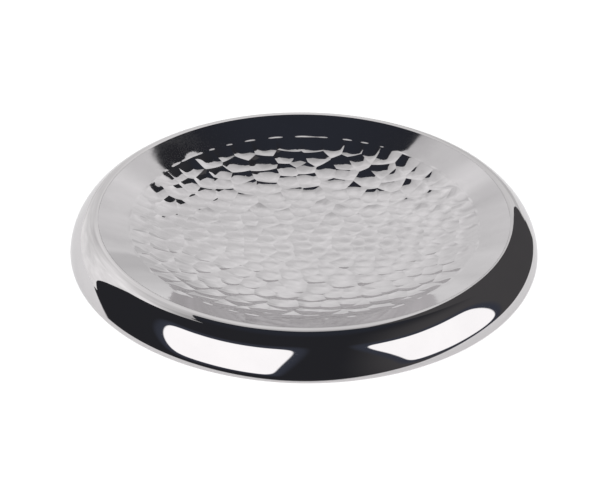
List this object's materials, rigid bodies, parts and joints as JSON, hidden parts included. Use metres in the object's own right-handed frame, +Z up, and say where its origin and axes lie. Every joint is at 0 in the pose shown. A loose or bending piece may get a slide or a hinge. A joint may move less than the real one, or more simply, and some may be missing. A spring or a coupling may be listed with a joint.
{
  "type": "centerpiece tray",
  "caption": "Round double-walled metal tray with a shallow hammered dish and a broad mirror-polished rolled rim, standing on soft pads.",
  "frame": {"origin": "middle of the tray on the table it stands on", "axes": "+Z up along the tray's own axis, -Y towards the viewer of the picture"},
  "size_m": [0.3, 0.3, 0.0317],
  "materials": {
    "hammered_steel": "hammered and polished",
    "polished_steel": "mirror polished",
    "base_steel": "satin",
    "braze_metal": "as brazed",
    "plug_plastic": "moulded",
    "pad_rubber": "soft, translucent white"
  },
  "bodies": {
    "root": {"hammered_dish": "hammered_steel", "rim_shell": "polished_steel", "base_plate": "base_steel", "crest_braze": "braze_metal", "base_braze": "braze_metal", "vent_plug": "plug_plastic", "foot_pad_1": "pad_rubber", "foot_pad_2": "pad_rubber", "foot_pad_3": "pad_rubber", "foot_pad_4": "pad_rubber"}
  },
  "joints": []
}
